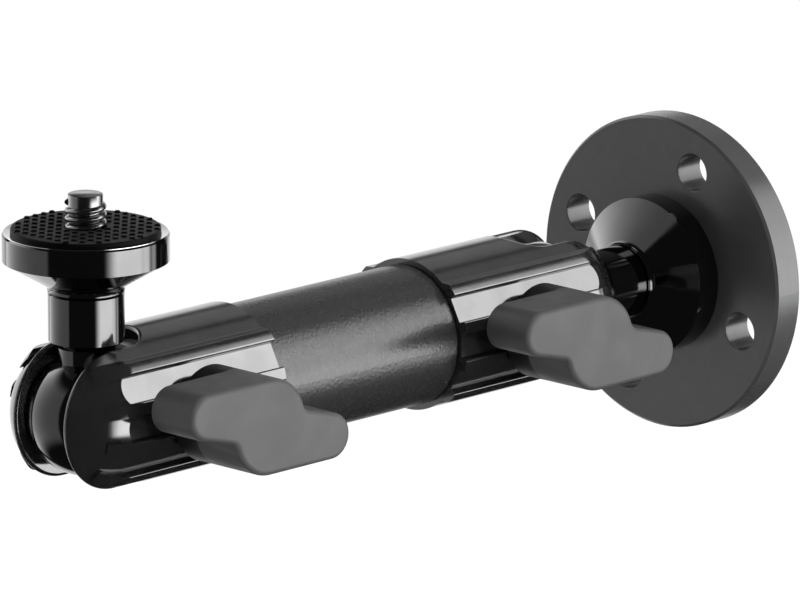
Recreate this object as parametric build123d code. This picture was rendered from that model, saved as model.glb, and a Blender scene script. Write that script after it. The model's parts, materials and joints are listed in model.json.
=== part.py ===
from build123d import *
import os
from math import asin, cos, degrees, radians, sin

# Camera wall bracket: a wall plate, two lockable ball clamps joined by a tube, and a camera platform.
# Origin at the centre of the wall plate's back face. The wall lies in the plane Y = 0, the arm
# reaches out along -Y, +Z is up, and both clamp knobs face +X. Millimetres.

# Wall plate
plate_radius = 25.4
plate_thickness = 5.2
plate_edge = 0.4
hole_radius = 3.05
hole_circle_radius = 18.7
hole_count = 4
first_hole_angle = 68.5
hole_edge = 0.1

# Ball studs, measured from the ball's centre along the stud
ball_radius = 9.5
waist_radius = 4.6
waist_top = 10.6
flare_height = 1.0
neck_radius = 5.83
neck_top = 19.2
neck_edge = 0.4
spigot_radius = 4.0
spigot_length = 5.2

# Flange at the wall and platform at the camera: one form, a collar, a cone and a rim
collar_radius = 5.93
cone_start = 20.0
cone_fillet = 1.0
disc_radius = 12.7
cone_end = 24.0
disc_top = 28.2
disc_edge = 0.3

# Screw that holds the wall stud's flange to the plate
bolt_radius = 2.5
bolt_head_radius = 4.6
bolt_thread_depth = 4.5
bolt_tip_room = 0.5
bolt_socket_radius = 1.7
bolt_socket_depth = 1.6

# Camera platform's rubber pad and its 1/4 inch camera screw
pad_radius = 11.4
pad_recess = 0.6
pad_proud = 1.05
screw_radius = 3.175
screw_relief_radius = 3.0
screw_thread_length = 3.5
screw_tip_radius = 2.78
screw_tip_length = 1.95
screw_run_out = 0.3

# Clamp housing, measured from the ball's centre towards the tube
housing_radius = 12.05
dome_length = 11.35
housing_length = 29.85
slot_width = 10.0
slot_centre = 3.9
slot_edge = 0.5
spigot_wall = 0.75
tube_engagement = 10.0

# Flutes along both flanks of the housing: angles from the knob's side, in degrees
ridge_height = 1.0
ridge_dome_length = 10.6
ridge_edge = 0.3
inner_ridge = (9.0, 18.5)
outer_ridge = (37.5, 46.0)
outer_ridge_foot = 52.0
flat_depth = 0.3
flat_angles = (-28.0, 0.0, 28.0)
ridge_root = 1.2

# Tube between the housings
ball_spacing = 99.4
tube_radius = 11.12
tube_edge = 0.3

# Locking knob, its screw and the plunger that presses on the ball
knob_distance = 13.4
knob_face = 26.3
knob_depth = 8.0
hub_radius = 7.45
wing_tip_radius = 3.6
wing_tip_reach = 13.2
wing_shoulder = (7.0, 1.5)
wing_fillet = 1.8
knob_front_edge = 0.9
knob_back_edge = 0.5
lock_screw_radius = 2.5
lock_screw_tip_radius = 0.8
lock_screw_tip_at = 0.4
lock_screw_end = 22.0
washer_radius = 6.6
washer_thickness = 1.0
insert_radius = 4.6
spot_face_radius = 8.0
plunger_start = 7.1
plunger_end = 12.6

# Clearances, all on the radius or along the axis
ball_clearance = 0.08
plunger_clearance = 0.08
cup_clearance = 0.1
thread_clearance = 0.06
seat_gap = 0.05
glue_gap = 0.05
washer_clearance = 0.25
insert_gap = 0.02
screw_end_gap = 0.3
wedge_clearance = 0.15
shank_room = 0.7
pad_clearance = 0.1
bolt_clearance = 0.25

# Sizes that follow
quarter_turn = 90
half_turn = 2 * quarter_turn
ridge_radius = housing_radius + ridge_height
flat_distance = housing_radius - flat_depth
bore_radius = ball_radius + ball_clearance
plunger_radius = bore_radius - plunger_clearance
wall_ball_y = -(plate_thickness + disc_top)
camera_ball_y = wall_ball_y - ball_spacing
pad_top = disc_top + pad_proud
spigot_top = neck_top + spigot_length
spigot_bore_top = spigot_top + screw_end_gap / 2
housing_spigot_radius = bore_radius + spigot_wall
tube_bore_radius = housing_spigot_radius + glue_gap
tube_length = ball_spacing - 2 * housing_length
insert_inner = bore_radius + thread_clearance
washer_seat = flat_distance + seat_gap
hub_back = washer_seat + washer_thickness + seat_gap

ball_at_camera = Pos(0, camera_ball_y, 0)
ball_at_wall = Pos(0, wall_ball_y, 0)


def polar(radius, angle):
    """Point in the section plane, the angle in degrees from +X."""
    return (radius * cos(radians(angle)), radius * sin(radians(angle)))


def turned(points):
    """Solid of revolution about Z from (radius, height) points."""
    outline = Polyline(*[(r, 0, z) for r, z in points], close=True)
    return revolve(make_face(outline), Axis.Z)


def along_x(radius, start, end, height=0.0):
    """Cylinder along +X between two stations, at a height on Z."""
    return Pos((start + end) / 2, 0, height) * Rot(0, 90, 0) * Cylinder(radius, end - start)


def make_wall_plate():
    """Round plate with four screw holes and a countersunk hole behind its centre."""
    plate = Cylinder(plate_radius, plate_thickness, align=(Align.CENTER, Align.CENTER, Align.MIN))
    plate = chamfer(plate.edges().group_by(Axis.Z)[-1], plate_edge)
    holes = PolarLocations(hole_circle_radius, hole_count, first_hole_angle)
    tool = turned([(0, 0), (hole_radius, 0), (hole_radius, plate_thickness - hole_edge),
                   (hole_radius + hole_edge, plate_thickness), (0, plate_thickness)])
    for place in holes:
        plate -= Pos(place.position) * tool
    sink = bolt_head_radius - bolt_radius
    shaft = bolt_radius + bolt_clearance
    plate -= turned([(0, 0), (bolt_head_radius + bolt_clearance, 0), (shaft, sink),
                     (shaft, plate_thickness), (0, plate_thickness)])
    return Rot(90, 0, 0) * plate


def disc_outline(bore_points, edge_points):
    """Section of the cone and rim that the flange and the platform share."""
    points = [(spigot_radius + thread_clearance, neck_top + seat_gap),
              (collar_radius, neck_top + seat_gap), (collar_radius, cone_start),
              (disc_radius, cone_end)]
    return points + edge_points + bore_points


def disc_solid(points):
    """Turned disc with the hollow corner between collar and cone rounded."""
    disc = turned(points)
    corner = [e for e in disc.edges().filter_by(GeomType.CIRCLE)
              if abs(e.radius - collar_radius) < 0.01 and abs(e.center().Z - cone_start) < 0.01]
    return fillet(corner, cone_fillet)


def make_wall_flange():
    """Cone and rim that stand on the wall plate, bored for the stud's spigot and the bolt."""
    shaft = bolt_radius + bolt_clearance
    disc = disc_solid(disc_outline(
        [(shaft, disc_top), (shaft, spigot_bore_top), (spigot_radius + thread_clearance, spigot_bore_top)],
        [(disc_radius, disc_top)]))
    return ball_at_wall * Rot(-90, 0, 0) * disc


def make_camera_platform():
    """The same cone and rim with a recess for the pad and a bore for the camera screw."""
    bore = screw_relief_radius + thread_clearance
    floor = disc_top - pad_recess
    disc = disc_solid(disc_outline(
        [(pad_radius + pad_clearance, disc_top), (pad_radius + pad_clearance, floor), (bore, floor),
         (bore, spigot_bore_top), (spigot_radius + thread_clearance, spigot_bore_top)],
        [(disc_radius, disc_top - disc_edge), (disc_radius - disc_edge, disc_top)]))
    return ball_at_camera * disc


def make_ball_stud():
    """Ball, waist that passes the slot, flared neck and spigot, along +Z."""
    stud = Sphere(ball_radius)
    stud += turned([(0, 0), (waist_radius, 0), (waist_radius, waist_top),
                    (neck_radius, waist_top + flare_height), (neck_radius, neck_top - neck_edge),
                    (neck_radius - neck_edge, neck_top),
                    (spigot_radius, neck_top), (spigot_radius, spigot_top), (0, spigot_top)])
    return stud


def make_wall_ball_stud():
    """Ball stud turned towards the wall, its spigot tapped for the bolt."""
    depth = bolt_thread_depth + bolt_tip_room
    tapping = Pos(0, 0, spigot_top - depth / 2) * Cylinder(bolt_radius + thread_clearance, depth)
    return ball_at_wall * Rot(-90, 0, 0) * (make_ball_stud() - tapping)


def make_wall_flange_bolt():
    """Countersunk socket screw from behind the plate into the wall stud."""
    sink = bolt_head_radius - bolt_radius
    tip = plate_thickness + disc_top - spigot_top + bolt_thread_depth
    bolt = turned([(0, seat_gap), (bolt_head_radius, seat_gap), (bolt_radius, seat_gap + sink),
                   (bolt_radius, tip), (0, tip)])
    socket = extrude(RegularPolygon(bolt_socket_radius, 6), seat_gap + bolt_socket_depth)
    return Rot(90, 0, 0) * (bolt - socket)


def make_camera_pad():
    """Rubber disc seated in the platform's recess."""
    floor = disc_top - pad_recess
    hole = screw_radius + pad_clearance
    pad = turned([(hole, floor), (pad_radius, floor), (pad_radius, pad_top), (hole, pad_top)])
    return ball_at_camera * pad


def make_camera_screw():
    """Camera screw with a plain dog tip; the relief below the pad sits in the platform."""
    foot = spigot_top + screw_end_gap
    thread_top = pad_top + screw_thread_length
    tip_foot = thread_top + screw_run_out
    tip_top = tip_foot + screw_tip_length
    screw = turned([(0, foot), (screw_relief_radius, foot), (screw_relief_radius, pad_top),
                    (screw_radius, pad_top), (screw_radius, thread_top), (screw_tip_radius, tip_foot),
                    (screw_tip_radius, tip_top - screw_run_out / 2),
                    (screw_tip_radius - screw_run_out / 2, tip_top), (0, tip_top)])
    return ball_at_camera * screw


def half_ellipsoid(radius, length):
    """Domed end below the ball's centre, its seam in the plane of the slot."""
    outline = Curve() + [EllipticalCenterArc((0, 0), radius, length, 270, arc_size=quarter_turn),
                         Polyline((radius, 0), (0, 0), (0, -length))]
    return revolve(Plane.YZ * make_face(outline), Axis.Z)


def ridge_section(start, end, foot):
    """Section of one flute ridge with its crest corners rounded."""
    root = housing_radius - ridge_root
    outline = Curve() + [
        Polyline(polar(root, start), polar(ridge_radius, start)),
        CenterArc((0, 0), ridge_radius, start, end - start),
        Polyline(polar(ridge_radius, end), polar(housing_radius, foot), polar(root, foot), polar(root, start))]
    face = make_face(outline)
    crest = [v for v in face.vertices() if abs(Vector(v.X, v.Y, 0).length - ridge_radius) < 0.01]
    return fillet(crest, ridge_edge)


def domed(section, radius, length):
    """A section run from the tube's end to the ball's centre, then on into its domed end."""
    dome = (Pos(0, 0, -length) * extrude(section, length)) & half_ellipsoid(radius, length)
    return extrude(section, housing_length) + dome


def make_ridges():
    """Every flute ridge of one housing, kept clear of the slot's rounded rim."""
    rim_room = Pos(0, 0, -housing_length) * Box(
        slot_width + 2 * slot_edge, 2 * housing_length, 2 * housing_length)
    ridges = []
    for section in (ridge_section(*inner_ridge, inner_ridge[1]),
                    ridge_section(*outer_ridge, outer_ridge_foot)):
        ridge = domed(section, ridge_radius, ridge_dome_length) - rim_room
        pair = [ridge, mirror(ridge, Plane.XZ)]
        ridges += pair + [mirror(twin, Plane.YZ) for twin in pair]
    return ridges


def make_slotted_bar():
    """A bar with flats and a domed end, slotted for the stud, with the slot's outer rim rounded."""
    section = Circle(housing_radius)
    for side in (0, half_turn):
        for angle in flat_angles:
            section -= Rot(0, 0, side + angle) * Pos(flat_distance + ridge_root / 2, 0) * Rectangle(
                ridge_root, housing_radius)
    half = slot_width / 2
    reach = 2 * ridge_radius
    slot = Pos(0, 0, slot_centre - reach / 2) * Box(slot_width, reach, reach)
    slot += Pos(0, 0, slot_centre) * Rot(90, 0, 0) * Cylinder(half, reach)
    bar = domed(section, housing_radius, dome_length) - slot
    rims = [e for e in bar.edges()
            if e.bounding_box().max.X < half + 0.01 and e.bounding_box().min.X > -half - 0.01
            and e.center().Z < slot_centre + half + slot_edge
            and Vector(0, e.center().Y, e.center().Z).length > bore_radius]
    return fillet(rims, slot_edge)


def make_housing():
    """Clamp housing with its ball seat, slot, bore, spigot and knob seat, ball centre at the origin."""
    housing = make_slotted_bar()
    for ridge in make_ridges():
        housing += ridge
    end = housing_length + tube_engagement
    reach = 2 * ridge_radius
    housing += Pos(0, 0, (housing_length + end) / 2) * Cylinder(housing_spigot_radius, tube_engagement)
    housing -= Sphere(bore_radius)
    housing -= Pos(0, 0, end / 2) * Cylinder(bore_radius, end)
    housing -= along_x(spot_face_radius, flat_distance, flat_distance + reach, knob_distance)
    housing -= along_x(insert_radius + insert_gap, 0, reach, knob_distance)
    return housing


def make_thread_insert():
    """Threaded bush pressed into the housing's wall under the knob."""
    bush = along_x(insert_radius, insert_inner, flat_distance, knob_distance)
    return bush - along_x(lock_screw_radius + thread_clearance, 0, flat_distance + 1, knob_distance)


def lock_screw_form(extra=0.0, room=0.0):
    """Cone-tipped screw along X; a notch for it grows its cone by extra and its shank by room."""
    tip_at = lock_screw_tip_at - extra
    tip = lock_screw_tip_radius + extra
    shank = lock_screw_radius + room
    form = turned([(0, tip_at), (tip, tip_at), (shank, tip_at + shank - tip), (shank, lock_screw_end),
                   (0, lock_screw_end)])
    return Pos(0, 0, knob_distance) * Rot(0, 90, 0) * form


def make_plunger():
    """Plunger with a cup for the ball and a wedge notch for the lock screw."""
    length = plunger_end - plunger_start
    plunger = Pos(0, 0, plunger_start + length / 2) * Cylinder(plunger_radius, length)
    plunger -= Sphere(ball_radius + cup_clearance)
    return plunger - lock_screw_form(wedge_clearance, shank_room)


def make_washer():
    """Washer between the knob's hub and the housing."""
    washer = along_x(washer_radius, washer_seat, washer_seat + washer_thickness, knob_distance)
    return washer - along_x(lock_screw_radius + washer_clearance, 0, knob_face, knob_distance)


def wing_section():
    """One wing: its foot is level with the hub's foot, its back slopes down to a round tip."""
    tip_centre = (wing_tip_reach, wing_tip_radius - hub_radius)
    tip = Pos(tip_centre) * Circle(wing_tip_radius)
    run = Vector(tip_centre) - Vector(wing_shoulder)
    lean = degrees(asin(wing_tip_radius / run.length))
    crown = Vector(wing_shoulder) + run.rotate(Axis.Z, lean) * cos(radians(lean))
    blade = make_face(Polyline((0, -hub_radius), (wing_tip_reach, -hub_radius), tip_centre,
                               (crown.X, crown.Y), wing_shoulder, (0, 0), close=True))
    return blade + tip


def make_knob():
    """Two-winged knob on a round hub, bored for the lock screw."""
    wing = wing_section()
    outline = Circle(hub_radius) + wing + Rot(0, 0, 180) * wing
    notches = [v for v in outline.vertices()
               if abs(Vector(v.X, v.Y, 0).length - hub_radius) < 0.01 and abs(v.Y) < hub_radius / 2]
    outline = fillet(notches, wing_fillet)
    head = extrude(outline, knob_depth)
    head = fillet(head.edges().group_by(Axis.Z)[-1], knob_front_edge)
    head = fillet(head.edges().group_by(Axis.Z)[0], knob_back_edge)
    hub_length = knob_face - knob_depth - hub_back
    head += Pos(0, 0, (knob_back_edge - hub_length) / 2) * Cylinder(hub_radius, hub_length + knob_back_edge)
    # The sketch's X becomes the arm's axis and its extrusion becomes +X.
    facing = Plane(origin=(knob_face - knob_depth, 0, knob_distance), x_dir=(0, 0, 1), z_dir=(1, 0, 0))
    return facing.location * head - along_x(
        lock_screw_radius + insert_gap, 0, lock_screw_end + insert_gap, knob_distance)


def make_centre_tube():
    """Tube pushed over both housings' spigots."""
    tube = Cylinder(tube_radius, tube_length) - Cylinder(tube_bore_radius, tube_length)
    outer = [e for e in tube.edges().filter_by(GeomType.CIRCLE) if abs(e.radius - tube_radius) < 0.01]
    tube = chamfer(outer, tube_edge)
    return Pos(0, (wall_ball_y + camera_ball_y) / 2, 0) * Rot(90, 0, 0) * tube


def make_clamp(side, place):
    """The six pieces of one ball clamp, named for its end of the arm."""
    return {
        side + "_clamp_housing": place * make_housing(),
        side + "_thread_insert": place * make_thread_insert(),
        side + "_pressure_plunger": place * make_plunger(),
        side + "_lock_screw": place * lock_screw_form(),
        side + "_knob_washer": place * make_washer(),
        side + "_knob": place * make_knob(),
    }


parts = {
    "wall_plate": make_wall_plate(),
    "wall_flange": make_wall_flange(),
    "wall_flange_bolt": make_wall_flange_bolt(),
    "wall_ball_stud": make_wall_ball_stud(),
    "centre_tube": make_centre_tube(),
    "camera_ball_stud": ball_at_camera * make_ball_stud(),
    "camera_platform": make_camera_platform(),
    "camera_pad": make_camera_pad(),
    "camera_screw": make_camera_screw(),
}
parts.update(make_clamp("wall", ball_at_wall * Rot(90, 0, 0)))
parts.update(make_clamp("camera", ball_at_camera * Rot(-90, 0, 0)))

os.makedirs("parts", exist_ok=True)
for name, solid in parts.items():
    export_step(solid, "parts/" + name + ".step")
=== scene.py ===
"""Studio scene of a camera wall bracket: its finishes, modelled details, lights and camera.

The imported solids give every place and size. Lengths in the classes are millimetres unless a
name says otherwise, and they become metres where a mesh is made.
"""

import json
import logging
import math
from dataclasses import dataclass
from enum import Enum
from typing import Any, Callable, Dict, List, Optional, Sequence, Tuple, Union

import bpy
from mathutils import Matrix, Vector

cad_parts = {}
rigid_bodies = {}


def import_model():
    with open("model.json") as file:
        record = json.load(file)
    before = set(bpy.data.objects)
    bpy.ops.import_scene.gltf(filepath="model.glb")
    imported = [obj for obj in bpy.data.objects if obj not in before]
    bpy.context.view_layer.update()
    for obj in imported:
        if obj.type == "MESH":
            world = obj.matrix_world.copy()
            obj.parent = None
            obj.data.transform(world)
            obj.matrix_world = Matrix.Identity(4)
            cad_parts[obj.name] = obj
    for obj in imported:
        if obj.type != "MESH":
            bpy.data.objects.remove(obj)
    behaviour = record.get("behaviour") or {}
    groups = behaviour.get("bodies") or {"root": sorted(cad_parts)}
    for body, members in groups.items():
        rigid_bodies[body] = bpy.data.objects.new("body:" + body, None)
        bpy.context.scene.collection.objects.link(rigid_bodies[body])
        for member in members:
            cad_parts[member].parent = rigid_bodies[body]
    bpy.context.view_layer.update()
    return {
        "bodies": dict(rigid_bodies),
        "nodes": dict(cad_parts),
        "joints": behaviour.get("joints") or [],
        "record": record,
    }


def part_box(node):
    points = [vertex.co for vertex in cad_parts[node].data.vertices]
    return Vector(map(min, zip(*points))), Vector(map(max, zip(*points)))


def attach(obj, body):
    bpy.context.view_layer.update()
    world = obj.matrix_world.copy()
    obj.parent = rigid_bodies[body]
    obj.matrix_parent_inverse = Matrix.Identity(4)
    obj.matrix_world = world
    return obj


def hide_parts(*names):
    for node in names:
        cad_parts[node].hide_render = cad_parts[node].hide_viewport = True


MM = 0.001

# Corners nearer than this are one corner
MERGE = 0.0005 * MM

# Stretches of the noise over which a shade and a roughness drift, and the latter's share of a patch
SHADE_DRIFT = (0.35, 0.65)
SHEEN_DRIFT = (0.3, 0.7)
SHEEN_PATCH = 0.6

LOG = logging.getLogger("bracket")

Number = Union[int, float]
Point = Tuple[float, float, float]


class Slot(Enum):
    """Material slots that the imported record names."""

    GLOSS = "gloss_black"
    PLATE = "plate_coat"
    POWDER = "powder_black"
    KNOB = "knob_plastic"
    PAD = "pad_rubber"
    BRIGHT = "bright_steel"
    ZINC = "zinc_steel"
    BRASS = "insert_brass"
    PLUNGER = "plunger_plastic"
    WASHER = "washer_plastic"


class Value:
    """One numeric socket whose operators add Math nodes."""

    def __init__(self, graph: "Graph", socket: Optional[bpy.types.NodeSocket]) -> None:
        """Wraps a socket.

        Args:
            graph: The node tree that the socket is in.
            socket: The socket that holds the number, or nothing for an output node.
        """
        self.graph = graph
        self.socket = socket

    def _math(self, operation: str, *operands: Any) -> "Value":
        """Adds one Math node.

        Args:
            operation: The Math node's operation.
            operands: Its inputs, numbers or values.

        Returns:
            The node's result.
        """
        inputs = dict(enumerate(operands))
        return self.graph.add("ShaderNodeMath", {"operation": operation}, inputs)

    def __add__(self, other: Any) -> "Value":
        """Sum."""
        return self._math("ADD", self, other)

    __radd__ = __add__

    def __sub__(self, other: Any) -> "Value":
        """Difference."""
        return self._math("SUBTRACT", self, other)

    def __rsub__(self, other: Any) -> "Value":
        """Difference with the value on the right."""
        return self._math("SUBTRACT", other, self)

    def __mul__(self, other: Any) -> "Value":
        """Product."""
        return self._math("MULTIPLY", self, other)

    __rmul__ = __mul__

    def __truediv__(self, other: Any) -> "Value":
        """Quotient."""
        return self._math("DIVIDE", self, other)

    def __neg__(self) -> "Value":
        """Opposite."""
        return self._math("MULTIPLY", self, -1.0)

    def __abs__(self) -> "Value":
        """Size without sign."""
        return self._math("ABSOLUTE", self)

    def above(self, edge: Number) -> "Value":
        """1 where the value is greater than the edge, else 0."""
        return self._math("GREATER_THAN", self, edge)

    def most(self, other: Any) -> "Value":
        """The greater of two values."""
        return self._math("MAXIMUM", self, other)

    def ramp(self, low: Number, high: Number) -> "Value":
        """Smooth step.

        Args:
            low: Where the step is still 0.
            high: Where it has reached 1.

        Returns:
            The step, from 0 to 1.
        """
        settings = {"interpolation_type": "SMOOTHSTEP"}
        inputs = {"Value": self, "From Min": low, "From Max": high}
        return self.graph.add("ShaderNodeMapRange", settings, inputs)

    def within(self, low: Number, high: Number, soft: Number) -> "Value":
        """Smooth window: 1 between low and high, fading over a soft edge."""
        return self.ramp(low - soft, low + soft) * (1 - self.ramp(high - soft, high + soft))


class Graph:
    """A node tree with one method that adds every node."""

    # Sockets of a Mix node's colours, whose names its other kinds share
    MIX_SHARE, MIX_FIRST, MIX_SECOND = 0, 6, 7
    MIX_RESULT = 2

    def __init__(self, tree: bpy.types.NodeTree) -> None:
        """Empties a tree.

        Args:
            tree: The node tree of a material or of the world.
        """
        self.tree = tree
        tree.nodes.clear()

    def add(
        self,
        kind: str,
        settings: Optional[Dict[str, Any]] = None,
        inputs: Optional[Dict[Any, Any]] = None,
        output: Union[int, str] = 0,
    ) -> Value:
        """Adds a node, sets it up and feeds it.

        Args:
            kind: The node's type.
            settings: Properties that are set before the sockets.
            inputs: Numbers, colours or values, by the socket's name or number.
            output: The socket that is returned.

        Returns:
            The chosen output socket.
        """
        node = self.tree.nodes.new(kind)
        for name, setting in (settings or {}).items():
            setattr(node, name, setting)
        for key, given in (inputs or {}).items():
            if isinstance(given, Value):
                self.tree.links.new(given.socket, node.inputs[key])
            else:
                node.inputs[key].default_value = given
        return Value(self, node.outputs[output] if node.outputs else None)

    def mix(self, share: Any, first: Any, second: Any) -> Value:
        """Colour between two colours.

        Args:
            share: 0 for the first colour, 1 for the second.
            first: Colour at 0.
            second: Colour at 1.

        Returns:
            The mixed colour.
        """
        colours = {self.MIX_SHARE: share, self.MIX_FIRST: first, self.MIX_SECOND: second}
        return self.add("ShaderNodeMix", {"data_type": "RGBA"}, colours, self.MIX_RESULT)

    def parts(self, vector: Value) -> List[Value]:
        """The three parts of a vector."""
        first = self.add("ShaderNodeSeparateXYZ", None, {0: vector})
        return [Value(self, output) for output in first.socket.node.outputs]

    def dot(self, vector: Value, axis: Sequence[float]) -> Value:
        """Part of a vector along an axis."""
        settings = {"operation": "DOT_PRODUCT"}
        return self.add("ShaderNodeVectorMath", settings, {0: vector, 1: axis}, "Value")

    def place(self) -> Value:
        """Object coordinates, in metres."""
        return self.add("ShaderNodeTexCoord", output="Object")

    def noise(self, grain: Number, detail: Number) -> Value:
        """Noise on the object's own coordinates.

        Args:
            grain: Size of one grain in millimetres.
            detail: Octaves of finer noise.

        Returns:
            Noise from 0 to 1.
        """
        inputs = {"Vector": self.place(), "Scale": 1.0 / (grain * MM), "Detail": detail, "Roughness": 0.5}
        return self.add("ShaderNodeTexNoise", {"noise_dimensions": "3D"}, inputs, "Fac")

    def bump(self, height: Value, depth: Number) -> Value:
        """Bump from a height.

        Args:
            height: Height from 0 to 1.
            depth: Depth in millimetres that a height of 1 stands for.

        Returns:
            The bumped normal.
        """
        inputs = {"Strength": 1.0, "Distance": depth * MM, "Height": height}
        return self.add("ShaderNodeBump", None, inputs, "Normal")


def grey(level: Number, blue: Number = 0.0) -> Tuple[float, float, float, float]:
    """A grey, cooler where blue is above 0 and warmer where it is below."""
    return (level, level, level * (1.0 + blue), 1.0)


@dataclass(frozen=True)
class Finish:
    """Finish of one material slot: a shade that varies a little, and a grained surface.

    With pieces given, it is for the pieces whose names have that ending alone. Patches and
    grains are millimetres.
    """

    slot: Slot
    dark: float
    light: float
    metallic: float = 0.0
    rough_low: float = 0.4
    rough_high: float = 0.5
    patch: float = 6.0
    grain: float = 0.4
    grain_depth: float = 0.0
    coat: float = 0.0
    coat_rough: float = 0.03
    specular: float = 0.5
    blue: float = 0.01
    pieces: str = ""

    def shade(self, graph: Graph) -> Value:
        """Base colour.

        Args:
            graph: The material's nodes.

        Returns:
            A colour that drifts between the two shades.
        """
        drift = graph.noise(self.patch, detail=3.0).ramp(*SHADE_DRIFT)
        return graph.mix(drift, grey(self.dark, self.blue), grey(self.light, self.blue))

    def roughness(self, graph: Graph) -> Value:
        """Roughness that drifts between its two limits."""
        drift = graph.noise(self.patch * SHEEN_PATCH, detail=4.0).ramp(*SHEEN_DRIFT)
        return drift * (self.rough_high - self.rough_low) + self.rough_low

    def normal(self, graph: Graph) -> Optional[Value]:
        """Surface grain.

        Args:
            graph: The material's nodes.

        Returns:
            The grained normal, or nothing on a smooth finish.
        """
        if not self.grain_depth:
            return None
        return graph.bump(graph.noise(self.grain, detail=1.0), self.grain_depth)

    def build(self) -> bpy.types.Material:
        """Makes the material.

        Returns:
            The finished material.
        """
        material = bpy.data.materials.new(self.slot.value + self.pieces)
        material.use_nodes = True
        graph = Graph(material.node_tree)
        inputs: Dict[Any, Any] = {
            "Base Color": self.shade(graph),
            "Roughness": self.roughness(graph),
            "Metallic": self.metallic,
            "Coat Weight": self.coat,
            "Coat Roughness": self.coat_rough,
            "Specular IOR Level": self.specular,
        }
        normal = self.normal(graph)
        if normal is not None:
            inputs["Normal"] = normal
        surface = graph.add("ShaderNodeBsdfPrincipled", None, inputs)
        graph.add("ShaderNodeOutputMaterial", None, {"Surface": surface})
        return material


@dataclass(frozen=True)
class PaintedShadeFinish(Finish):
    """Rubber painted lighter on its flats and with painted shade on its steep sides."""

    flats: Tuple[float, float] = (0.62, 0.92)
    drift_share: float = 0.2

    def shade(self, graph: Graph) -> Value:
        """Base colour by how far the surface lies flat, as painted light and shade.

        Args:
            graph: The material's nodes.

        Returns:
            A lighter painted grey on flats, and a dark painted shade on steep sides.
        """
        upright = graph.parts(graph.add("ShaderNodeTexCoord", output="Normal"))[2]
        drift = graph.noise(self.patch, detail=3.0).ramp(*SHADE_DRIFT)
        # Painted light and shade: lighter where the surface faces up, darker on steep sides, with a little
        # random drift on the lighter grey
        painted_light_share = upright.ramp(*self.flats) * (drift * self.drift_share + (1.0 - self.drift_share))
        return graph.mix(painted_light_share, grey(self.dark, self.blue), grey(self.light, self.blue))


@dataclass(frozen=True)
class ShadedHubFinish(Finish):
    """Moulded grey with a darker painted shade on its hub, from the clamp's side out to hub_end."""

    hub_end: float = 17.15
    painted_hub_shade: float = 0.018

    def shade(self, graph: Graph) -> Value:
        """Base colour: the wings' grey, and a darker painted shade on the hub nearer to the clamp."""
        # Painted shade: the hub, from the clamp out to hub_end, gets the darker grey
        wing = (graph.parts(graph.place())[0] / MM).above(self.hub_end)
        return graph.mix(wing, grey(self.painted_hub_shade), super().shade(graph))


FINISHES = (
    Finish(Slot.GLOSS, 0.150, 0.165, metallic=1.0, rough_low=0.06, rough_high=0.09, coat=0.2),
    Finish(Slot.GLOSS, 0.205, 0.225, metallic=0.93, rough_low=0.10, rough_high=0.14, coat=0.1,
           grain=0.5, grain_depth=0.002, pieces="_clamp_housing"),
    Finish(Slot.PLATE, 0.158, 0.164, metallic=0.55, rough_low=0.255, rough_high=0.27, patch=2.0,
           grain=0.30, grain_depth=0.008),
    Finish(Slot.POWDER, 0.128, 0.135, metallic=0.76, rough_low=0.27, rough_high=0.29, patch=1.5,
           grain=0.50, grain_depth=0.046),
    # The knob's finish paints shade on its hub
    ShadedHubFinish(Slot.KNOB, 0.098, 0.108, rough_low=0.42, rough_high=0.5, grain=0.25, grain_depth=0.01),
    # The pad's finish paints light on flats and shade on its buttons' steep sides
    PaintedShadeFinish(Slot.PAD, 0.003, 0.050, rough_low=0.45, rough_high=0.52, patch=1.0, specular=0.12),
    Finish(Slot.BRIGHT, 0.33, 0.36, metallic=1.0, rough_low=0.21, rough_high=0.25, patch=2.0),
    Finish(Slot.BRIGHT, 0.86, 0.90, metallic=1.0, rough_low=0.11, rough_high=0.13, patch=2.0,
           pieces="_turned_ring"),
    Finish(Slot.ZINC, 0.5, 0.55, metallic=1.0, rough_low=0.28, rough_high=0.36),
    Finish(Slot.BRASS, 0.5, 0.55, metallic=1.0, rough_low=0.25, rough_high=0.32, blue=-0.5),
    Finish(Slot.PLUNGER, 0.6, 0.64, rough_low=0.4, rough_high=0.5),
    Finish(Slot.WASHER, 0.02, 0.03, rough_low=0.45, rough_high=0.55),
)


@dataclass(frozen=True)
class Panel:
    """Straight softbox: a stretch of turns by a stretch of heights, in degrees, with faded edges."""

    turns: Tuple[float, float]
    heights: Tuple[float, float]
    fades: Tuple[float, float]
    light: float

    def level(self, turn: Value, lift: Value) -> Value:
        """The panel's light in the direction of a turn and a lift."""
        shape = turn.within(*self.turns, self.fades[0]) * lift.within(*self.heights, self.fades[1])
        return shape * self.light


@dataclass(frozen=True)
class Patch:
    """Round softbox: its middle's turn and lift, and how far its light reaches and is full, in degrees."""

    middle: Tuple[float, float]
    reach: Tuple[float, float]
    light: float


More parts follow.
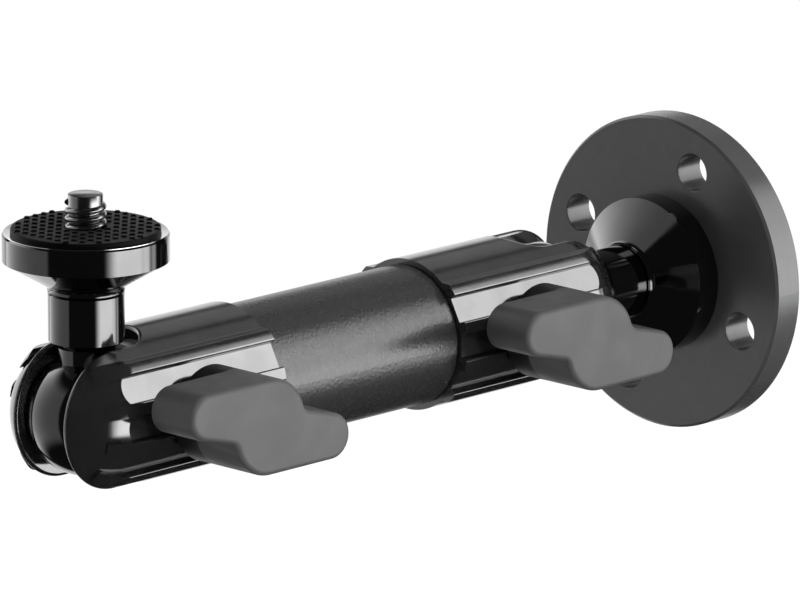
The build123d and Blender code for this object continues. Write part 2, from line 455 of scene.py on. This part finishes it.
@dataclass
class Studio:
    """Camera, surroundings and floor, set out round the photograph's viewing direction.

    Turns are degrees from the camera's side round to the right, and lifts and heights are
    degrees above the horizon.
    """

    azimuth: float = 44.35
    elevation: float = 13.99
    distance: float = 1500.0
    lens: float = 433.3
    sensor: float = 36.0
    sight: Tuple[float, float] = (50.0, 50000.0)
    target: Point = (0.0, -70.0, 0.0)
    shift: Tuple[float, float] = (0.02839, 0.05190)
    floor_height: float = -260.0
    floor_size: float = 6000.0
    floor_grey: float = 0.8
    floor_white: float = 1.05
    floor_cover: float = 0.95
    dark: float = 0.018
    key_turns: Tuple[float, float] = (37.0, 88.0)
    key_edges: Tuple[float, float] = (11.0, 7.0)
    key_heights: Tuple[float, float] = (-22.0, 1.0)
    key_fade: float = 4.0
    key_light: float = 3.4
    strip: Panel = Panel((104.0, 113.0), (-26.0, 8.0), (3.0, 6.0), 1.2)
    column: Panel = Panel((82.0, 100.0), (-18.0, 33.0), (5.0, 5.0), 3.0)
    wash: Panel = Panel((22.0, 104.0), (-38.0, 52.0), (10.0, 6.0), 3.5)
    left_edges: Tuple[float, float] = (52.0, 139.0)
    left_heights: Tuple[float, float] = (-38.0, 46.0)
    left_fades: Tuple[float, float] = (2.5, 10.0)
    left_floor: float = 0.27
    left_light: float = 1.75
    cove_edge: float = 140.0
    cove_heights: Tuple[float, float] = (-28.0, 15.0)
    cove_fade: float = 6.0
    cove_light: float = 1.0
    corner: Patch = Patch((106.0, 33.0), (11.0, 3.0), 1.9)
    overhead: Patch = Patch((169.0, 33.0), (18.0, 6.0), 0.28)
    canopy: Patch = Patch((135.0, 46.0), (15.0, 5.0), 0.20)
    zenith: Patch = Patch((180.0, 76.0), (13.0, 5.0), 0.8)
    rear: Patch = Patch((-165.0, -38.0), (15.0, 6.0), 0.9)
    soft_turns: Tuple[float, float] = (-170.0, -20.0)
    soft_turn_fade: float = 10.0
    soft_lifts: Tuple[float, float] = (20.0, 35.0)
    soft_share: float = 0.45

    def axes(self) -> Tuple[Vector, Vector, Vector]:
        """The view's own directions.

        Returns:
            Right, up, and back from the object to the camera.
        """
        a = math.radians(self.azimuth)
        e = math.radians(self.elevation)
        right = Vector((math.cos(a), math.sin(a), 0.0))
        up = Vector((-math.sin(e) * math.sin(a), math.sin(e) * math.cos(a), math.cos(e)))
        back = Vector((math.sin(a) * math.cos(e), -math.cos(a) * math.cos(e), math.sin(e)))
        return right, up, back

    def make_camera(self) -> None:
        """Places the camera at the photograph's angle and framing."""
        right, up, back = self.axes()
        data = bpy.data.cameras.new("camera")
        data.lens = self.lens
        data.sensor_width = self.sensor
        data.clip_start, data.clip_end = (length * MM for length in self.sight)
        camera = bpy.data.objects.new("camera", data)
        bpy.context.scene.collection.objects.link(camera)
        data.shift_x, data.shift_y = self.shift
        aim = Vector(self.target)
        turn = Matrix((right, up, back)).transposed().to_4x4()
        camera.matrix_world = Matrix.Translation((aim + back * self.distance) * MM) @ turn
        bpy.context.scene.camera = camera

    def make_world(self) -> None:
        """Makes the surroundings: white for the camera, and softboxes in a dark room for the object.

        Soft light, which mat surfaces gather, has its own wash in front, and less of the left and
        of what is high up.
        """
        world = bpy.data.worlds.new("studio")
        world.use_nodes = True
        bpy.context.scene.world = world
        graph = Graph(world.node_tree)
        a = math.radians(self.azimuth)
        ray = graph.add("ShaderNodeTexCoord", output="Generated")
        across = graph.dot(ray, (math.cos(a), math.sin(a), 0.0))
        toward = graph.dot(ray, (math.sin(a), -math.cos(a), 0.0))
        rise = graph.parts(ray)[2]
        degree = math.radians(1.0)
        turn = graph.add("ShaderNodeMath", {"operation": "ARCTAN2"}, {0: across, 1: toward}) / degree
        lift = graph.add("ShaderNodeMath", {"operation": "ARCSINE"}, {0: rise}) / degree
        seen = graph.add("ShaderNodeLightPath", output="Is Camera Ray")
        soft = graph.add("ShaderNodeLightPath", output="Is Diffuse Ray")
        wash = self.wash.level(turn, lift)
        dimmed = turn.within(*self.soft_turns, self.soft_turn_fade).most(lift.ramp(*self.soft_lifts))
        panels = self.glow(graph, ray, turn, lift) * (1 - dimmed * soft * self.soft_share)
        level = (panels.most(wash * soft) + self.dark) * (1 - seen) + seen
        surround = graph.add("ShaderNodeBackground", None, {"Color": grey(1.0), "Strength": level})
        graph.add("ShaderNodeOutputWorld", None, {"Surface": surround})

    def glow(self, graph: Graph, ray: Value, turn: Value, lift: Value) -> Value:
        """Light of the studio's panels in one direction.

        Args:
            graph: The world's nodes.
            ray: The direction.
            turn: Degrees from the camera's side round to the right.
            lift: Degrees above the horizon.

        Returns:
            The light of the key, column, strip, left side and cove, and of the round patches.
        """
        low, high = self.key_turns
        key = (turn.ramp(low - self.key_edges[0], low + self.key_edges[0])
               * (1 - turn.ramp(high - self.key_edges[1], high + self.key_edges[1]))
               * lift.within(*self.key_heights, self.key_fade))
        low, high = self.left_edges
        turn_fade, lift_fade = self.left_fades
        share = ((-turn) - low) / (high - low)
        climb = share * share * share * self.left_light + self.left_floor
        side = (-turn).within(low, high, turn_fade) * climb
        cove = (abs(turn).ramp(self.cove_edge - self.cove_fade, self.cove_edge + self.cove_fade)
                * lift.within(*self.cove_heights, self.cove_fade))
        total = ((key * self.key_light).most(self.column.level(turn, lift)) + self.strip.level(turn, lift)
                 + side * lift.within(*self.left_heights, lift_fade) + cove * self.cove_light)
        for patch in (self.corner, self.overhead, self.canopy, self.zenith, self.rear):
            wide, narrow = (math.cos(math.radians(angle)) for angle in patch.reach)
            total = total + graph.dot(ray, self.direction(*patch.middle)).ramp(wide, narrow) * patch.light
        return total

    def direction(self, turn: float, lift: float) -> Point:
        """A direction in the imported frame.

        Args:
            turn: Degrees from the camera's side round to the right.
            lift: Degrees above the horizon.

        Returns:
            The unit vector.
        """
        a, psi, up = (math.radians(x) for x in (self.azimuth, turn, lift))
        out, near = math.sin(psi) * math.cos(up), math.cos(psi) * math.cos(up)
        across, along = out * math.cos(a) + near * math.sin(a), out * math.sin(a) - near * math.cos(a)
        return (across, along, math.sin(up))

    def make_floor(self) -> None:
        """Adds the pale floor, whose white is for the camera alone and lights nothing."""
        place = (0.0, 0.0, self.floor_height * MM)
        bpy.ops.mesh.primitive_plane_add(size=self.floor_size * MM, location=place)
        floor = bpy.context.active_object
        floor.name = "floor"
        material = bpy.data.materials.new("floor")
        material.use_nodes = True
        graph = Graph(material.node_tree)
        paper = graph.add("ShaderNodeBsdfDiffuse", None, {"Color": grey(self.floor_grey)})
        white = graph.add("ShaderNodeEmission", None, {"Color": grey(1.0), "Strength": self.floor_white})
        clear = graph.add("ShaderNodeBsdfTransparent")
        seen = graph.add("ShaderNodeLightPath", output="Is Camera Ray")
        mirrored = graph.add("ShaderNodeLightPath", output="Is Glossy Ray")
        shown = graph.add("ShaderNodeMixShader", None, {0: seen * self.floor_cover, 1: paper, 2: white})
        surface = graph.add("ShaderNodeMixShader", None, {0: mirrored, 1: shown, 2: clear})
        graph.add("ShaderNodeOutputMaterial", None, {"Surface": surface})
        floor.data.materials.append(material)

    def build(self) -> None:
        """Sets up the whole studio."""
        bpy.context.scene.view_settings.view_transform = "Standard"
        self.make_camera()
        self.make_world()
        self.make_floor()
        LOG.info("studio: camera at azimuth %.2f, elevation %.2f", self.azimuth, self.elevation)


def dress_solids(frame: Dict[str, Any], materials: Dict[str, bpy.types.Material]) -> None:
    """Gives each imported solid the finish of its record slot, or its own variant of it.

    Args:
        materials: Finished materials by slot name, and by piece ending.
    """
    for row in frame["record"]["subparts"]:
        solid = frame["nodes"][row["node"]]
        ending = row["node"][row["node"].index("_"):]
        solid.data.materials.clear()
        solid.data.materials.append(materials.get(ending, materials[row["material_slot"]]))
        LOG.info("%s: %s", row["node"], row["material_slot"])


def in_mm(corner: Sequence[float]) -> Point:
    """A corner's place in millimetres."""
    x, y, z = (length / MM for length in corner)
    return (x, y, z)


def deselect() -> None:
    """Leaves no object selected."""
    bpy.ops.object.select_all(action="DESELECT")


def apply_modifier(piece: bpy.types.Object, kind: str, **settings: Any) -> None:
    """Adds one modifier to a piece and applies it.

    Args:
        piece: The mesh object.
        kind: The modifier's type.
        settings: The modifier's properties.
    """
    bpy.context.view_layer.objects.active = piece
    modifier = piece.modifiers.new(kind.lower(), kind)
    for name, setting in settings.items():
        setattr(modifier, name, setting)
    bpy.ops.object.modifier_apply(modifier=modifier.name)


def join(name: str, members: Sequence[bpy.types.Object]) -> bpy.types.Object:
    """Joins mesh objects into one.

    Args:
        name: The joined piece's name.
        members: The mesh objects, the first of which is kept.

    Returns:
        The joined piece.
    """
    deselect()
    for member in members:
        member.select_set(True)
    bpy.context.view_layer.objects.active = members[0]
    bpy.ops.object.join()
    piece = bpy.context.active_object
    piece.name = piece.data.name = name
    return piece


def finish_piece(piece: bpy.types.Object, material: bpy.types.Material, crease: float) -> bpy.types.Object:
    """Gives the selected piece its finish and smooths all but its sharper edges.

    Args:
        piece: The mesh object.
        material: Its finish.
        crease: Degrees from which an edge stays sharp.

    Returns:
        The finished piece.
    """
    piece.data.materials.clear()
    piece.data.materials.append(material)
    bpy.ops.object.shade_smooth_by_angle(angle=math.radians(crease))
    return piece


def edit_corners(piece: bpy.types.Object, chosen: Callable[[Vector], bool]) -> None:
    """Enters edit mode with only the chosen corners of the active piece selected.

    Args:
        piece: The mesh object.
        chosen: Tells from a corner's place in metres whether it is taken.
    """
    bpy.ops.object.mode_set(mode="EDIT")
    bpy.ops.mesh.select_all(action="DESELECT")
    bpy.ops.object.mode_set(mode="OBJECT")
    for vertex in piece.data.vertices:
        vertex.select = chosen(vertex.co)
    bpy.ops.object.mode_set(mode="EDIT")


def draw_line(points: Sequence[Point]) -> bpy.types.Object:
    """Draws a line of edges by extruding one corner from point to point.

    Args:
        points: Places in millimetres; a last point on the first closes the line.

    Returns:
        The line as a mesh object at the origin.
    """
    deselect()
    bpy.ops.mesh.primitive_plane_add(size=MM, location=[v * MM for v in points[0]])
    bpy.ops.object.transform_apply(location=True, rotation=True, scale=True)
    bpy.ops.object.mode_set(mode="EDIT")
    bpy.ops.mesh.select_all(action="SELECT")
    bpy.ops.mesh.merge(type="CENTER")
    for last, new in zip(points, points[1:]):
        step = [(b - a) * MM for a, b in zip(last, new)]
        bpy.ops.mesh.extrude_region_move(TRANSFORM_OT_translate={"value": step})
    bpy.ops.mesh.select_all(action="SELECT")
    bpy.ops.mesh.remove_doubles(threshold=MERGE)
    bpy.ops.object.mode_set(mode="OBJECT")
    return bpy.context.active_object


def close_mesh(piece: bpy.types.Object) -> None:
    """Merges a mesh's doubles, fills its open ends and points its faces outwards.

    Args:
        piece: The mesh object.
    """
    deselect()
    piece.select_set(True)
    bpy.context.view_layer.objects.active = piece
    bpy.ops.object.mode_set(mode="EDIT")
    bpy.ops.mesh.select_all(action="SELECT")
    bpy.ops.mesh.remove_doubles(threshold=MERGE)
    bpy.ops.mesh.select_all(action="DESELECT")
    bpy.ops.mesh.select_mode(type="EDGE")
    bpy.ops.mesh.select_non_manifold()
    bpy.ops.mesh.fill_holes(sides=0)
    bpy.ops.mesh.select_mode(type="VERT")
    bpy.ops.mesh.select_all(action="SELECT")
    bpy.ops.mesh.normals_make_consistent(inside=False)
    bpy.ops.object.mode_set(mode="OBJECT")


@dataclass
class TurnedForm:
    """Solid of revolution about a vertical axis."""

    outline: Sequence[Tuple[float, float]]
    centre: Point
    steps: int = 96

    def build(self) -> bpy.types.Object:
        """Spins the outline of (radius, height) points round the axis.

        Returns:
            The mesh object, its place in its mesh.
        """
        x, y, z = self.centre
        piece = draw_line([(x + r, y, z + h) for r, h in self.outline])
        bpy.ops.object.mode_set(mode="EDIT")
        bpy.ops.mesh.select_all(action="SELECT")
        middle = [length * MM for length in self.centre]
        bpy.ops.mesh.spin(steps=self.steps, angle=math.tau, center=middle, axis=(0, 0, 1))
        bpy.ops.object.mode_set(mode="OBJECT")
        close_mesh(piece)
        return piece


@dataclass
class CameraScrew:
    """Quarter inch camera screw: a rolled thread on a core, and a plain dog tip.

    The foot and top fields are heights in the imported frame; major, root, relief and tip are radii.
    """

    centre: Point
    foot: float
    thread_foot: float
    tip_foot: float
    tip_top: float
    major: float = 3.17
    root: float = 2.55
    relief: float = 3.0
    relief_drop: Tuple[float, float] = (0.6, 0.3)
    tip: float = 2.68
    pitch: float = 1.27
    crest: float = 0.10
    crest_round: Tuple[float, float] = (0.09, 0.17)
    shoulder: Tuple[float, float] = (0.34, 0.36)
    flank: float = 0.62
    sunk: float = 0.12
    edge: float = 0.14
    knee: float = 0.3
    turns: float = 3.4
    start_angle: float = 85.4
    turn_steps: int = 64
    crease: float = 34.0

    def make_core(self) -> bpy.types.Object:
        """Shank below the pad, core of the thread and the tip.

        Returns:
            The turned core.
        """
        slope = self.tip - self.root
        relief_top, root_foot = (self.thread_foot - drop for drop in self.relief_drop)
        knee = self.edge * self.knee
        outline = ((0.0, self.foot), (self.relief, self.foot), (self.relief, relief_top),
                   (self.root, root_foot), (self.root, self.tip_foot - slope), (self.tip, self.tip_foot),
                   (self.tip, self.tip_top - self.edge), (self.tip - knee, self.tip_top - knee),
                   (self.tip - self.edge, self.tip_top), (0.0, self.tip_top))
        return TurnedForm(outline, self.centre).build()

    def make_thread(self) -> bpy.types.Object:
        """Sweeps the ridge's section up a helix.

        Returns:
            The ridge, closed at both ends.
        """
        x, y, z = self.centre
        round_in, round_up = self.crest_round
        shoulder_in, shoulder_up = self.shoulder
        upper = [(self.major, self.crest), (self.major - round_in, self.crest + round_up),
                 (self.major - shoulder_in, self.crest + shoulder_up), (self.root - self.sunk, self.flank)]
        section = [(r, -h) for r, h in reversed(upper)] + upper
        angle = math.radians(self.start_angle)
        line = [(r * math.cos(angle), r * math.sin(angle), self.thread_foot + h) for r, h in section]
        piece = draw_line(line + line[:1])
        steps = int(self.turn_steps * self.turns)
        apply_modifier(piece, "SCREW", axis="Z", angle=math.tau * self.turns, iterations=1,
                       steps=steps, render_steps=steps, use_smooth_shade=False,
                       screw_offset=self.pitch * self.turns * MM)
        piece.location = (x * MM, y * MM, z * MM)
        bpy.ops.object.transform_apply(location=True, rotation=True, scale=True)
        close_mesh(piece)
        return piece

    def build(self, material: bpy.types.Material) -> bpy.types.Object:
        """Models the screw.

        Args:
            material: Its finish.

        Returns:
            The finished piece.
        """
        piece = join("camera_screw_threaded", [self.make_core(), self.make_thread()])
        return finish_piece(piece, material, self.crease)


@dataclass
class TurnedRing:
    """Bare ring round the pad, dished a little towards it, its foot sunk in the platform."""

    centre: Point
    floor: float
    inner: float = 11.35
    outer: float = 12.45
    dish: float = 0.06
    sunk: float = 0.03
    steps: int = 192
    crease: float = 20.0

    def build(self, material: bpy.types.Material) -> bpy.types.Object:
        """Models the ring.

        Args:
            material: Its finish.

        Returns:
            The finished piece.
        """
        base = self.floor - self.sunk
        outline = [(self.inner, self.floor), (self.outer, self.floor + self.dish), (self.outer, base),
                   (self.inner, base), (self.inner, self.floor)]
        piece = TurnedForm(outline, self.centre, self.steps).build()
        piece.name = piece.data.name = "camera_platform_turned_ring"
        return finish_piece(piece, material, self.crease)


@dataclass
class CameraPad:
    """Rubber pad with a field of small raised buttons inside its rounded rim.

    Its buttons stand proud of the plain pad's top, and its flat lies their lift below their tops.
    """

    centre: Point
    floor: float
    top: float
    radius: float = 11.4
    hole: float = 3.28
    proud: float = 0.1
    lift: float = 0.28
    edge: float = 0.42
    edge_steps: int = 5
    disc_steps: int = 128
    pitch: float = 1.75
    start: Tuple[float, float] = (0.24, -0.70)
    button_base: float = 0.71
    button_top: float = 0.42
    button_sides: int = 4
    button_sunk: float = 0.05
    inner: float = 3.6
    outer: float = 11.0
    crease: float = 30.0

    def make_disc(self) -> bpy.types.Object:
        """Turned disc with a rounded top edge.

        Returns:
            The disc.
        """
        flat = self.top + self.proud - self.lift
        middle = (self.radius - self.edge, flat - self.edge)
        angles = [math.radians(90 - 90 / self.edge_steps * step) for step in range(self.edge_steps + 1)]
        arc = [(middle[0] + self.edge * math.sin(a), middle[1] + self.edge * math.cos(a)) for a in angles]
        foot = [(self.hole, self.floor), (self.radius, self.floor)]
        outline = foot + arc + [(self.hole, flat), (self.hole, self.floor)]
        return TurnedForm(outline, self.centre, self.disc_steps).build()

    def is_off_field(self, corner: Vector) -> bool:
        """Whether a corner's button lies in the screw's clearing or out on the rim.

        Args:
            corner: The corner's place in metres.

        Returns:
            True where the button is left out.
        """
        column, line = (
            round((length / MM - middle - start) / self.pitch) * self.pitch + start
            for length, middle, start in zip(corner, self.centre, self.start))
        return not self.inner < math.hypot(column, line) < self.outer

    def make_buttons(self) -> bpy.types.Object:
        """Every raised button, in a square field along and across the arm.

        Returns:
            The joined buttons.
        """
        count = int(self.outer / self.pitch) + 1
        reach = count * self.pitch
        x, y, z = self.centre
        x, y = x + self.start[0], y + self.start[1]
        tall = self.lift + self.button_sunk
        first = ((x - reach) * MM, (y - reach) * MM, (z + self.top + self.proud - tall / 2) * MM)
        deselect()
        bpy.ops.mesh.primitive_cone_add(vertices=self.button_sides, radius1=self.button_base * MM,
                                        radius2=self.button_top * MM, depth=tall * MM, location=first)
        piece = bpy.context.active_object
        bpy.ops.object.transform_apply(location=True, rotation=True, scale=True)
        for offset in ((self.pitch * MM, 0.0, 0.0), (0.0, self.pitch * MM, 0.0)):
            apply_modifier(piece, "ARRAY", count=2 * count + 1, use_relative_offset=False,
                           use_constant_offset=True, constant_offset_displace=offset)
        edit_corners(piece, self.is_off_field)
        bpy.ops.mesh.delete(type="VERT")
        bpy.ops.object.mode_set(mode="OBJECT")
        return piece

    def build(self, material: bpy.types.Material) -> bpy.types.Object:
        """Models the pad.

        Args:
            material: Its finish.

        Returns:
            The finished piece.
        """
        piece = join("camera_pad_studded", [self.make_disc(), self.make_buttons()])
        return finish_piece(piece, material, self.crease)


@dataclass
class DeepKnob:
    """Wing knob whose wings reach nearer to the clamp than the plain solid's, whose back is at back."""

    side: str
    back: float = 18.3
    back_round: float = 0.5
    deeper: float = 1.1
    margin: float = 0.05
    crease: float = 30.0

    def build(self, frame: Dict[str, Any], material: bpy.types.Material) -> bpy.types.Object:
        """Models the knob from a merged copy of its solid, its wings' back moved towards the clamp.

        Args:
            material: Its finish.

        Returns:
            The finished piece.
        """
        solid = frame["nodes"][self.side + "_knob"]
        name = self.side + "_knob_deep"
        deselect()
        piece = bpy.data.objects.new(name, solid.data.copy())
        piece.data.name = name
        bpy.context.scene.collection.objects.link(piece)
        close_mesh(piece)
        low, high = self.back - self.margin, self.back + self.back_round + self.margin
        edit_corners(piece, lambda corner: low < corner.x / MM < high)
        bpy.ops.transform.translate(value=(-self.deeper * MM, 0.0, 0.0))
        bpy.ops.object.mode_set(mode="OBJECT")
        return finish_piece(piece, material, self.crease)


def make_knobs(frame: Dict[str, Any], materials: Dict[str, bpy.types.Material]) -> None:
    """Models both wing knobs in the place of their plain solids.

    Args:
        materials: Finished materials by slot name.
    """
    for side in ("wall", "camera"):
        piece = DeepKnob(side).build(frame, materials[Slot.KNOB.value])
        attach(piece, side + "_lock")
        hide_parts(side + "_knob")
        LOG.info("%s stands for %s_knob", piece.name, side)


@dataclass
class CameraHead:
    """Camera side's top: threaded screw, studded pad and bare ring, set out from the pad's top."""

    thread_sunk: float = 0.7
    tip_foot: float = 3.05
    tip_top: float = 4.9
    ring_lift: float = 0.01

    def build(self, materials: Dict[str, bpy.types.Material]) -> None:
        """Models the pieces and puts them in their places in the assembly.

        Args:
            materials: Finished materials by slot name, and by piece ending.
        """
        pad_low, pad_high = (in_mm(corner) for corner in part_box("camera_pad"))
        screw_low = in_mm(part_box("camera_screw")[0])
        rim_high = in_mm(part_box("camera_platform")[1])
        centre = ((pad_low[0] + pad_high[0]) / 2, (pad_low[1] + pad_high[1]) / 2, 0.0)
        top = pad_high[2]
        screw = CameraScrew(centre, foot=screw_low[2], thread_foot=top - self.thread_sunk,
                            tip_foot=top + self.tip_foot,
                            tip_top=top + self.tip_top).build(materials[Slot.BRIGHT.value])
        pad = CameraPad(centre, floor=pad_low[2], top=top).build(materials[Slot.PAD.value])
        ring = TurnedRing(centre, floor=rim_high[2] + self.ring_lift).build(materials["_turned_ring"])
        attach(ring, "camera_head")
        LOG.info("%s lies on camera_platform", ring.name)
        for piece, node, slot in ((screw, "camera_screw", Slot.BRIGHT), (pad, "camera_pad", Slot.PAD)):
            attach(piece, "camera_head")
            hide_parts(node)
            LOG.info("%s stands for %s", piece.name, node)


def main() -> None:
    """Builds the studio and every piece in order."""
    logging.basicConfig(level=logging.INFO, format="%(message)s")
    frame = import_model()
    Studio().build()
    materials = {finish.pieces or finish.slot.value: finish.build() for finish in FINISHES}
    dress_solids(frame, materials)
    CameraHead().build(materials)
    make_knobs(frame, materials)


if __name__ == "__main__":
    main()
